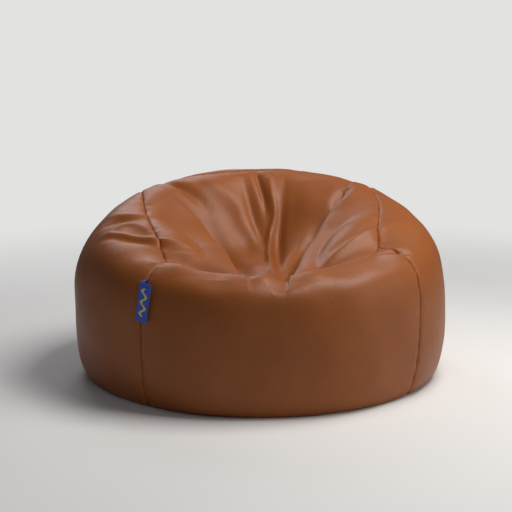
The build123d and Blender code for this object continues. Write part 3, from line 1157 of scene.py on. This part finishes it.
@dataclass
class Inside:
    """The inner bag and the beads, which follow the cover from within."""

    form: BagForm
    channel_x: tuple[float, float] = (-0.314, 0.344)
    channel_y: float = 0.028
    channel_ease: tuple[float, float] = (0.02, 0.012)
    liner: tuple[float, float, float] = (0.0075, 0.0040, 0.0110)
    fill: tuple[float, float, float] = (0.0100, 0.0065, 0.0145)
    base_rows: int = 23
    rows: int = 170
    columns: int = 220
    lowest_normal: float = 2.97
    margin: int = 3
    margin_fade: tuple[float, float] = (1.2, 1.5)

    def skin(self, name: str, inset: float, bottom: float, roof: float) -> Any:
        """A skin at an inset along the cover's normals, with a raised channel over the zips.

        Args:
            name: the piece's name.
            inset: distance under the cover's face.
            bottom: height of the flat base.
            roof: height of the channel over the zips.

        Returns:
            The new piece.
        """
        turn = all_round(self.columns)
        depth = np.concatenate([np.full(self.base_rows, 3.0), np.linspace(3.0, 0.003, self.rows)])
        shrink = np.linspace(0.002, 1.0, self.base_rows + 1)[:-1]
        shrink = np.concatenate([shrink, np.ones(self.rows)])
        turns, depths = np.meshgrid(turn, depth)
        normals = self.form.normals(turns, np.minimum(depths, self.lowest_normal))
        points = self.form.sculpt(turns, depths) - normals * inset
        points[..., :2] *= shrink[:, None, None]
        lowest = self.least_nearby(points[..., 2])
        share = 1.0 - ease(depths, *self.margin_fade)
        points[..., 2] += share * (lowest - points[..., 2])
        over = between(points[..., 0], *self.channel_x, self.channel_ease[0])
        over = over * between(points[..., 1], -self.channel_y, self.channel_y, self.channel_ease[1])
        points[..., 2] = np.maximum(points[..., 2], bottom + (roof - bottom) * over)
        return mesh_piece(name, points, wrap=True)

    def least_nearby(self, height: Array) -> Array:
        """Lowest height among the near places of the grid, so that no crease of the cover is pierced.

        Args:
            height: grid of heights, whose columns go round.

        Returns:
            Grid of the least heights.
        """
        least = height.copy()
        for step in range(1, self.margin + 1):
            for way in (step, -step):
                least = np.minimum(least, np.roll(height, way, axis=1))
        for step in range(1, self.margin + 1):
            least[step:] = np.minimum(least[step:], least[:-step])
            least[:-step] = np.minimum(least[:-step], least[step:])
        return least

    def build(self, cloth: Any, beads: Any) -> None:
        """Make and dress the inner bag and the beads.

        Args:
            cloth: material of the inner bag.
            beads: material of the beads.
        """
        liner = self.skin("liner_skin", *self.liner)
        dress(liner, cloth, "bag", ["liner_bag"])
        fill = self.skin("bead_mass", *self.fill)
        dress(fill, beads, "bag", ["bead_fill"])


@dataclass
class Threads:
    """The sewing threads, as thin tubes just under the seams."""

    form: BagForm
    under: float = 0.0062
    radius: float = 0.0004
    base_radius: float = 0.429
    base_height: float = 0.0029
    foot: float = 2.9
    overrun: float = 0.01
    guide: tuple[float, float, float] = (0.3, 0.2, 1.0)
    sides: int = 6
    side_steps: int = 160
    ring_steps: int = 400

    def line(self, name: str, path: Array, closed: bool = False) -> Any:
        """A thin tube along a path: each ring lies square to the path's direction.

        Args:
            name: the piece's name.
            path: array of points along the seam.
            closed: joins the last point to the first.

        Returns:
            The new piece.
        """
        ahead = np.roll(path, -1, axis=0) - np.roll(path, 1, axis=0) if closed else np.gradient(path, axis=0)
        ahead /= np.maximum(np.linalg.norm(ahead, axis=1, keepdims=True), 1e-12)
        side = np.cross(ahead, np.array(self.guide))
        side /= np.maximum(np.linalg.norm(side, axis=1, keepdims=True), 1e-12)
        rise = np.cross(side, ahead)
        angle = all_round(self.sides)
        ring = side[:, None] * np.cos(angle)[None, :, None] + rise[:, None] * np.sin(angle)[None, :, None]
        rings = path[:, None] + ring * self.radius
        if not closed:
            return capped_tube(name, rings)
        piece = mesh_piece(name, np.concatenate([rings, rings[:1]]), wrap=True)
        outward(piece)
        return piece

    def build(self, material: Any) -> None:
        """Make and dress the side, seat and base seam threads.

        Args:
            material: the thread.
        """
        form = self.form
        names = ("front_left", "front_right", "back_right", "back_left")
        for index, name in enumerate(names):
            turn = np.full(self.side_steps, form.seam_turn(index))
            top = float(form.seat_depth(turn[:1])[0]) + self.overrun
            depth = np.linspace(self.foot, top, self.side_steps)
            piece = self.line("thread_side_" + name, form.under(turn, depth, self.under))
            dress(piece, material, "bag", ["side_seam_thread_" + name])
        turn = all_round(self.ring_steps)
        path = form.under(turn, form.seat_depth(turn), self.under)
        dress(self.line("thread_seat", path, True), material, "bag", ["seat_seam_thread"])
        level = np.full(self.ring_steps, self.base_height)
        ring = np.stack([self.base_radius * np.sin(turn), -self.base_radius * np.cos(turn), level], axis=-1)
        dress(self.line("thread_base", ring, True), material, "bag", ["base_seam_thread"])


@dataclass
class Label:
    """The folded woven label: a tab in the seam and the leaf that turns on its edge."""

    form: BagForm
    width: float = 0.036
    height: float = 0.092
    thickness: float = 0.0010
    lift: float = 0.0022
    wave: float = 0.0006
    wave_rate: float = 7.0
    leaf_gap: float = 0.0002
    leaf_columns: int = 40
    leaf_rows: int = 90
    tab_thickness: float = 0.0009
    tab_gap: float = 0.0003
    tab_under: float = 0.0050
    tab_rows: int = 60
    seam_span: tuple[float, float] = (2.6, 1.0)
    seam_steps: int = 4000

    def axes(self) -> tuple[Array, Array, Array, Array]:
        """The label's own axes, square to the joint's axis and level with the seam.

        Returns:
            Hinge point, and the directions up the seam, along the leaf and out of the bag.
        """
        joint = next(item for item in frame["joints"] if item["name"] == "label_fold")
        origin = np.asarray(joint["pos_m"], dtype=float)
        up = -np.asarray(joint["axis"], dtype=float)
        up /= np.linalg.norm(up)
        turn = self.form.seam_turn(0)
        level = np.array([math.cos(turn), math.sin(turn), 0.0])
        out = np.cross(level, up)
        out /= np.linalg.norm(out)
        return origin, up, np.cross(up, out), out

    def leaf(self) -> Any:
        """The leaf: a sheet that lifts by the square of its width and waves slightly up its height.

        Returns:
            The new piece.
        """
        origin, up, along, out = self.axes()
        across = np.linspace(0.0, 1.0, self.leaf_columns)
        share, rise = np.meshgrid(across, np.linspace(-0.5, 0.5, self.leaf_rows))
        curl = self.lift * share**2 + self.wave * np.sin(rise * self.wave_rate + 1.0) * share
        points = origin + up * (rise * self.height)[..., None] + along * (share * self.width)[..., None]
        points = points + out * (curl + self.leaf_gap)[..., None]
        piece = mesh_piece("label_leaf", points, uv=True)
        thicken(piece, self.thickness, 0.0)
        return piece

    def tab(self) -> Any:
        """The sewn-in strip: straight rows from inside the seam's groove out to the hinge edge.

        Returns:
            The new piece.
        """
        origin, up, _, out = self.axes()
        rise = np.linspace(-0.5, 0.5, self.tab_rows)
        outer = origin + up * (rise * self.height)[:, None] - out * self.tab_gap
        turn = np.full(self.seam_steps, self.form.seam_turn(0))
        depth = np.linspace(*self.seam_span, self.seam_steps)
        seam = self.form.under(turn, depth, self.tab_under)
        which = np.abs(seam[:, None, 2] - outer[None, :, 2]).argmin(axis=0)
        inner = seam[which]
        points = np.stack([inner, inner * 0.6 + outer * 0.4, outer], axis=1)
        piece = mesh_piece("label_seam_tab", points, uv=True)
        thicken(piece, self.tab_thickness, 0.0)
        return piece

    def build(self, material: Any) -> None:
        """Make and dress the leaf and the tab."""
        dress(self.leaf(), material, "label", ["label_flap"])
        dress(self.tab(), material, "bag", ["label_tab"])


class Zips:
    """The CAD pieces of both zips, which keep their shape and get their finishes."""

    def finishes(self) -> dict[str, Any]:
        """The finishes of the slots that the zip pieces and the CAD threads use.

        Returns:
            Material of each slot.
        """
        plate, tarnish = colour(172, 166, 152), colour(140, 132, 118)
        kinds = {
            "zip_tape": WovenFinish("zip_tape", colour(84, 52, 32), colour(64, 38, 22)),
            "zip_teeth": SolidFinish("zip_teeth", colour(90, 54, 32), colour(70, 42, 26)),
            "zip_metal": SolidFinish("zip_plate", plate, tarnish, 1.0, 0.32),
            "liner_tape": WovenFinish("liner_tape", colour(226, 224, 214), colour(208, 206, 196)),
            "liner_teeth": SolidFinish("liner_teeth", colour(232, 230, 220), colour(214, 212, 202)),
            "thread": ThreadFinish("thread_twist"),
        }
        return {slot: kind.material() for slot, kind in kinds.items()}

    def build(self) -> None:
        """Give each CAD node the finish of its slot, where there is one here."""
        finishes = self.finishes()
        slots = {part["node"]: part["material_slot"] for part in frame["record"]["subparts"]}
        for name, node in frame["nodes"].items():
            if slots[name] in finishes:
                node.data.materials.clear()
                node.data.materials.append(finishes[slots[name]])
                log.info("%s: finish of %s", name, slots[name])


@dataclass(frozen=True)
class Lamp:
    """One square soft lamp, turned towards its aim."""

    name: str
    place: tuple[float, float, float]
    aim: float
    power: float
    size: float
    tone: tuple[float, float, float]

    def build(self) -> None:
        """Add the lamp, which looks at a height over the middle of the floor."""
        data = bpy.data.lights.new(self.name, "AREA")
        data.energy = self.power
        data.size = self.size
        data.color = self.tone
        lamp = bpy.data.objects.new(self.name, data)
        lamp.location = self.place
        way = Vector((0.0, 0.0, self.aim)) - Vector(self.place)
        lamp.rotation_euler = way.to_track_quat("-Z", "Y").to_euler()
        bpy.context.scene.collection.objects.link(lamp)


LAMPS = (
    Lamp("top_lamp", (0.85, -0.25, 2.1), 0.3, 44.0, 1.1, (1.0, 0.96, 0.92)),
    Lamp("right_lamp", (2.1, -0.8, 0.9), 0.25, 11.0, 1.0, (1.0, 0.96, 0.92)),
    Lamp("rim_lamp", (-0.7, 1.9, 1.8), 0.4, 15.0, 1.2, (0.98, 0.97, 1.0)),
    Lamp("front_lamp", (0.6, -2.8, 1.7), 0.2, 3.0, 1.6, (1.0, 0.98, 0.96)),
)


@dataclass
class Studio:
    """Pale floor, soft light and the camera at the photograph's angle."""

    distance: float = 3.30
    elevation: float = math.radians(10.4)
    aim: tuple[float, float, float] = (-0.011, 0.0, 0.297)
    lens: float = 89.7
    sensor: float = 36.0
    backdrop: tuple[float, float, float, float] = colour(226, 226, 225)
    fade_start: float = 0.7
    fade_end: float = 2.6
    ambient: float = 0.13
    ambient_tone: tuple[float, float, float, float] = (0.92, 0.95, 1.0, 1.0)
    floor_half: float = 40.0
    floor_steps: int = 41
    floor_scale: float = 1.5
    floor_roughness: float = 0.9
    floor_tones: tuple = (colour(222, 222, 222), colour(228, 228, 227))

    def camera(self) -> None:
        """Camera that looks along +Y and a little down at the bag."""
        data = bpy.data.cameras.new("view_camera")
        data.lens = self.lens
        data.sensor_width = self.sensor
        camera = bpy.data.objects.new("view_camera", data)
        back = Vector((0.0, -math.cos(self.elevation), math.sin(self.elevation)))
        camera.location = Vector(self.aim) + back * self.distance
        camera.rotation_euler = (-back).to_track_quat("-Z", "Y").to_euler()
        bpy.context.scene.collection.objects.link(camera)
        bpy.context.scene.camera = camera

    def floor(self) -> None:
        """Pale floor that fades into the plain backdrop away from the bag."""
        across = np.linspace(-self.floor_half, self.floor_half, self.floor_steps)
        x, y = np.meshgrid(across, across)
        piece = mesh_piece("studio_floor", np.stack([x, y, np.zeros_like(x)], axis=-1))
        shader = Shader("studio_floor")
        where = shader.place()
        tint = shader.noise(where, self.floor_scale)
        tone = shader.mix(tint, *self.floor_tones)
        shader.finish(Base_Color=tone, Roughness=self.floor_roughness)
        away = shader.node("ShaderNodeVectorMath", {"operation": "LENGTH"}, {0: where}).out("Value")
        span = {"Value": away, "From Min": self.fade_start, "From Max": self.fade_end}
        share = shader.node("ShaderNodeMapRange", {"interpolation_type": "SMOOTHSTEP"}, span).out("Result")
        plain = shader.node("ShaderNodeEmission", {}, {"Color": self.backdrop, "Strength": 1.0}).out()
        shader.faded(share * shader.seen(), plain)
        piece.data.materials.append(shader.block)

    def world(self) -> None:
        """Soft even light all round, which the camera sees as the plain backdrop."""
        shader = WorldShader("studio_world")
        shader.finish(Color=self.ambient_tone, Strength=self.ambient)
        plain = shader.node("ShaderNodeBackground", {}, {"Color": self.backdrop}).out()
        shader.faded(shader.seen(), plain)
        bpy.context.scene.world = shader.block

    def build(self) -> None:
        """Set the colour management, world, lamps and floor."""
        bpy.context.scene.view_settings.view_transform = "Standard"
        self.world()
        for lamp in LAMPS:
            lamp.build()
        self.floor()


def seat_folds() -> list[Fold]:
    """The folds of the seat: plan points in millimetres, then height and width.

    Returns:
        The lip and the groove behind it, the creases beside both lobes, the pleats down the back, and
        the small folds at the right, the left and the front, in that order.
    """
    lap = Curve.OVERLAP
    lip = [(-250, -305), (-206, -338), (-131, -367), (-45, -392)]
    lip += [(20, -398), (97, -375), (197, -324), (300, -270)]
    groove = [(-235, -250), (-190, -285), (-120, -315), (-45, -332)]
    groove += [(20, -336), (85, -320), (180, -272), (290, -205)]
    return [
        Fold(lip, 8, 30),
        Fold(groove, -28, 36),
        Fold([(-215, -262), (-150, -300), (-80, -322), (-20, -330)], -12, 30),
        Fold([(-45, -320), (-70, -170), (-101, -22), (-154, 45), (-189, 63), (-235, 90)], 27, 80, lap, 1.0),
        Fold([(-25, -220), (-52, -90), (-82, 5), (-135, 72), (-185, 105)], -26, 30),
        Fold([(225, 125), (191, 70), (143, 10), (98, -129), (72, -300), (66, -370)], 23, 60, lap, 1.7, 3.0),
        Fold([(172, 72), (124, 10), (82, -125), (58, -270)], -18, 22),
        Fold([(-150, 190), (-127, 167), (-59, 142), (-43, 113), (-8, 89), (5, 10)], 12, 22),
        Fold([(-44, 200), (-32, 162), (-11, 117), (5, 70)], -12, 14),
        Fold([(-12, 240), (-5, 210), (11, 165), (16, 140)], -14, 9),
        Fold([(25, 205), (32, 162), (43, 127), (21, 87), (29, -125)], 13, 10),
        Fold([(66, 190), (59, 153), (47, 67), (48, -153)], -13, 14),
        Fold([(121, 170), (110, 60), (80, -90)], 10, 34),
        Fold([(-265, 190), (-242, 163), (-141, 117)], -14, 15),
        Fold([(232, 130), (214, 107), (200, 82)], -20, 18),
        Fold([(149, -256), (229, -196), (304, -122), (340, -95)], 9, 13),
        Fold([(140, -232), (217, -175), (295, -102)], -8, 17),
        Fold([(262, -268), (286, -265), (350, -240)], -13, 8),
        Fold([(265, -285), (300, -283), (350, -262)], 5, 11),
        Fold([(-390, -138), (-303, -183), (-236, -208), (-149, -208)], 7, 9),
        Fold([(-380, -160), (-300, -200), (-236, -226), (-170, -230)], -6, 12),
        Fold([(-385, -35), (-328, -67), (-270, -49)], 7, 14),
        Fold([(-380, -145), (-326, -95), (-262, -166)], 6, 12),
        Fold([(-400, -85), (-330, -82)], -5, 13),
        Fold([(20, -440), (57, -413), (62, -360)], -10, 30),
        Fold([(0, -430), (3, -385), (0, -350)], 7, 26),
        Fold([(-190, -390), (-190, -345), (-180, -310)], 6, 34),
        Fold([(-100, -410), (-95, -370)], -5, 30),
        Fold([(125, -410), (120, -370)], 5, 28),
    ]


def main() -> None:
    """Build the studio and every piece in order."""
    logging.basicConfig(level=logging.INFO, format="%(message)s")
    studio = Studio()
    studio.camera()
    studio.build()
    form = BagForm(folds=seat_folds())
    leather = LeatherFinish().material()
    Cover(form).build(leather)
    Base().build(leather)
    Threads(form).build(ThreadFinish("sewing_thread").material())
    Label(form).build(LabelFinish().material())
    cloth = WovenFinish("liner_cloth", colour(232, 230, 222), colour(214, 212, 204), 1100.0).material()
    Inside(form).build(cloth, BeadFinish().material())
    Zips().build()


if __name__ == "__main__":
    main()
